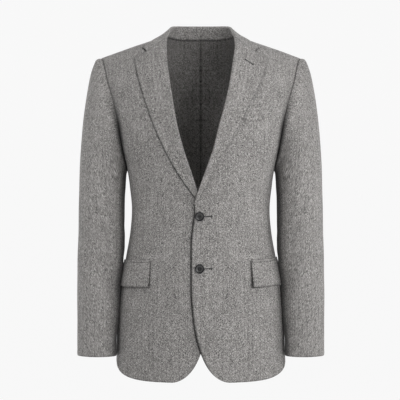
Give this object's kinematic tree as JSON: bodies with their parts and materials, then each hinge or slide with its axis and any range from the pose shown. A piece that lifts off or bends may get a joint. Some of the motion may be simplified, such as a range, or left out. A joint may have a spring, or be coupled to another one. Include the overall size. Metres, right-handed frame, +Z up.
{
  "type": "blazer",
  "caption": "Single-breasted tailored jacket in grey herringbone wool, with notch lapels, flap pockets and a cut-away hem, filled out and hollow.",
  "frame": {"origin": "the middle of the neck's base, where the wearer's neck and shoulders hold the jacket", "axes": "+Z up along the jacket's length, +X towards the wearer's left, -Y towards the wearer's front"},
  "size_m": [0.5346, 0.2657, 0.7692],
  "materials": {
    "wool": "fine herringbone wool, matt, grey",
    "button": "polished dark resin"
  },
  "bodies": {
    "root": {"left_front": "wool", "right_front": "wool", "left_side": "wool", "right_side": "wool", "left_back": "wool", "right_back": "wool", "left_lapel": "wool", "right_lapel": "wool", "left_top_sleeve": "wool", "right_top_sleeve": "wool", "left_under_sleeve": "wool", "right_under_sleeve": "wool", "left_flap": "wool", "right_flap": "wool", "left_pocket_jet": "wool", "right_pocket_jet": "wool", "collar": "wool", "breast_welt": "wool", "button_upper": "button", "button_lower": "button"}
  },
  "joints": []
}
